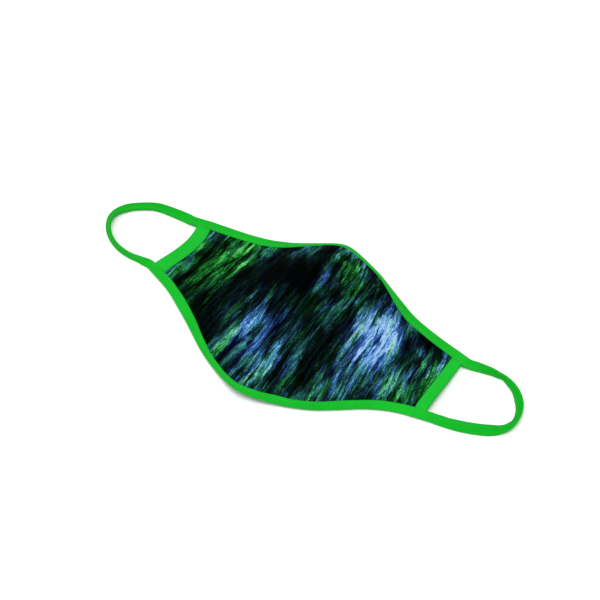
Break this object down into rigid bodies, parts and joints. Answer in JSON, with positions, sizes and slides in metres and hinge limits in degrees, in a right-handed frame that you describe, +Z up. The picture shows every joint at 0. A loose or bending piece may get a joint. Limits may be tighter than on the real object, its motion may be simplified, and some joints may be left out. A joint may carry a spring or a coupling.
{
  "type": "reusable cloth face mask",
  "caption": "Domed cloth face mask with a nose peak and chin, folded edge binding, side bands and tape ear loops, lying outer face up.",
  "frame": {"origin": "middle of the mask's footprint, on the surface it lies on", "axes": "+X along the mask from the left ear loop to the right as the picture shows them, +Y from the chin edge to the nose edge, +Z up out of the outer face"},
  "size_m": [0.3408, 0.138, 0.0506],
  "materials": {
    "print_cloth": "dark navy and black knit printed with fine blue, teal and green streaks",
    "binding_tape": "bright green matt stretch tape, ribbed knit",
    "band_tape": "bright green matt stretch tape, ribbed knit",
    "loop_tape": "bright green matt stretch tape, ribbed knit"
  },
  "bodies": {
    "root": {"face_panel": "print_cloth", "upper_binding": "binding_tape", "lower_binding": "binding_tape", "side_band_left": "band_tape", "side_band_right": "band_tape", "ear_loop_left": "loop_tape", "ear_loop_right": "loop_tape"}
  },
  "joints": []
}
